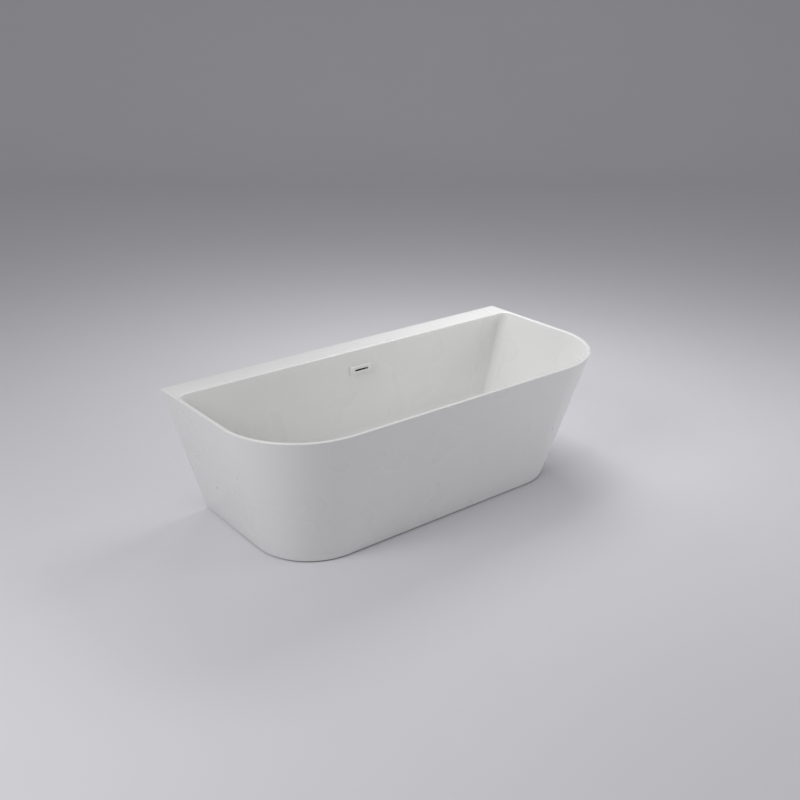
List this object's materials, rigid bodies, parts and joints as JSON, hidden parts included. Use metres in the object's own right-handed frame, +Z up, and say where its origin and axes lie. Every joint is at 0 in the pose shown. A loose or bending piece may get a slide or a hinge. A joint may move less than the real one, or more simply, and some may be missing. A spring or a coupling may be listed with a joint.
{
  "type": "freestanding bathtub",
  "caption": "Back-to-wall freestanding acrylic bath: straight rear deck, rounded front corners, tapered skirt, steel frame on screw feet, slotted overflow and press-to-open waste.",
  "frame": {"origin": "on the floor, under the middle of the bath's outer box", "axes": "+X along the bath, +Y towards the wall side, +Z up"},
  "size_m": [1.7, 0.8, 0.56],
  "materials": {
    "acrylic": "gloss",
    "board": "sealed chipboard",
    "galvanised": "galvanised",
    "zinc": "zinc plated",
    "plastic_white_gloss": "gloss",
    "plastic_white": "satin",
    "plastic_grey": "satin",
    "plastic_black": "satin",
    "rubber_black": "matt",
    "chrome": "polished"
  },
  "bodies": {
    "bath": {"basin": "acrylic", "skirt": "acrylic", "base_board": "board", "front_rail": "galvanised", "rear_rail": "galvanised", "front_rail_cap_left": "plastic_black", "front_rail_cap_right": "plastic_black", "rear_rail_cap_left": "plastic_black", "rear_rail_cap_right": "plastic_black", "cross_member_outer_left": "galvanised", "cross_member_inner_left": "galvanised", "cross_member_inner_right": "galvanised", "cross_member_outer_right": "galvanised", "deck_post_left": "galvanised", "deck_post_right": "galvanised", "skirt_bracket_front_left": "zinc", "skirt_bracket_front_right": "zinc", "skirt_bracket_rear_left": "zinc", "skirt_bracket_rear_right": "zinc", "overflow_cover": "plastic_white_gloss", "overflow_seal": "rubber_black", "overflow_body": "plastic_grey", "overflow_screw_left": "zinc", "overflow_screw_right": "zinc", "overflow_hose": "plastic_grey", "hose_clip_upper": "zinc", "hose_clip_lower": "zinc", "waste_flange": "chrome", "waste_gasket_upper": "rubber_black", "waste_gasket_lower": "rubber_black", "waste_body": "plastic_grey", "plug_cartridge": "plastic_white", "trap_cup": "plastic_white", "trap_nut": "plastic_white", "outlet_nut": "plastic_white", "outlet_pipe": "plastic_white", "foot_lock_nut_front_left": "zinc", "foot_lock_nut_front_middle": "zinc", "foot_lock_nut_front_right": "zinc", "foot_lock_nut_rear_left": "zinc", "foot_lock_nut_rear_right": "zinc"},
    "plug": {"plug_cap": "chrome", "plug_seal": "rubber_black", "plug_stem": "zinc"},
    "foot_front_left": {"foot_pad_front_left": "rubber_black"},
    "stud_front_left": {"foot_stud_front_left": "zinc"},
    "foot_front_middle": {"foot_pad_front_middle": "rubber_black"},
    "stud_front_middle": {"foot_stud_front_middle": "zinc"},
    "foot_front_right": {"foot_pad_front_right": "rubber_black"},
    "stud_front_right": {"foot_stud_front_right": "zinc"},
    "foot_rear_left": {"foot_pad_rear_left": "rubber_black"},
    "stud_rear_left": {"foot_stud_rear_left": "zinc"},
    "foot_rear_right": {"foot_pad_rear_right": "rubber_black"},
    "stud_rear_right": {"foot_stud_rear_right": "zinc"}
  },
  "joints": [
    {"name": "plug_press", "type": "slide", "parent": "bath", "child": "plug", "axis": [0, 0, 1], "range_m": [-0.008, 0]},
    {"name": "foot_front_left_height", "type": "slide", "parent": "bath", "child": "foot_front_left", "axis": [0, 0, 1], "range_m": [-0.015, 0.004]},
    {"name": "foot_front_left_turn", "type": "hinge", "parent": "foot_front_left", "child": "stud_front_left", "pos_m": [-0.46, -0.222, 0], "axis": [0, 0, 1], "range_deg": [-3086, 823]},
    {"name": "foot_front_middle_height", "type": "slide", "parent": "bath", "child": "foot_front_middle", "axis": [0, 0, 1], "range_m": [-0.015, 0.004]},
    {"name": "foot_front_middle_turn", "type": "hinge", "parent": "foot_front_middle", "child": "stud_front_middle", "pos_m": [0, -0.222, 0], "axis": [0, 0, 1], "range_deg": [-3086, 823]},
    {"name": "foot_front_right_height", "type": "slide", "parent": "bath", "child": "foot_front_right", "axis": [0, 0, 1], "range_m": [-0.015, 0.004]},
    {"name": "foot_front_right_turn", "type": "hinge", "parent": "foot_front_right", "child": "stud_front_right", "pos_m": [0.46, -0.222, 0], "axis": [0, 0, 1], "range_deg": [-3086, 823]},
    {"name": "foot_rear_left_height", "type": "slide", "parent": "bath", "child": "foot_rear_left", "axis": [0, 0, 1], "range_m": [-0.015, 0.004]},
    {"name": "foot_rear_left_turn", "type": "hinge", "parent": "foot_rear_left", "child": "stud_rear_left", "pos_m": [-0.47, 0.3725, 0], "axis": [0, 0, 1], "range_deg": [-3086, 823]},
    {"name": "foot_rear_right_height", "type": "slide", "parent": "bath", "child": "foot_rear_right", "axis": [0, 0, 1], "range_m": [-0.015, 0.004]},
    {"name": "foot_rear_right_turn", "type": "hinge", "parent": "foot_rear_right", "child": "stud_rear_right", "pos_m": [0.47, 0.3725, 0], "axis": [0, 0, 1], "range_deg": [-3086, 823]}
  ],
  "couplings": [
    {"joint": "foot_front_left_turn", "follows": "foot_front_left_height", "rad_per_m": 3590.4},
    {"joint": "foot_front_middle_turn", "follows": "foot_front_middle_height", "rad_per_m": 3590.4},
    {"joint": "foot_front_right_turn", "follows": "foot_front_right_height", "rad_per_m": 3590.4},
    {"joint": "foot_rear_left_turn", "follows": "foot_rear_left_height", "rad_per_m": 3590.4},
    {"joint": "foot_rear_right_turn", "follows": "foot_rear_right_height", "rad_per_m": 3590.4}
  ]
}
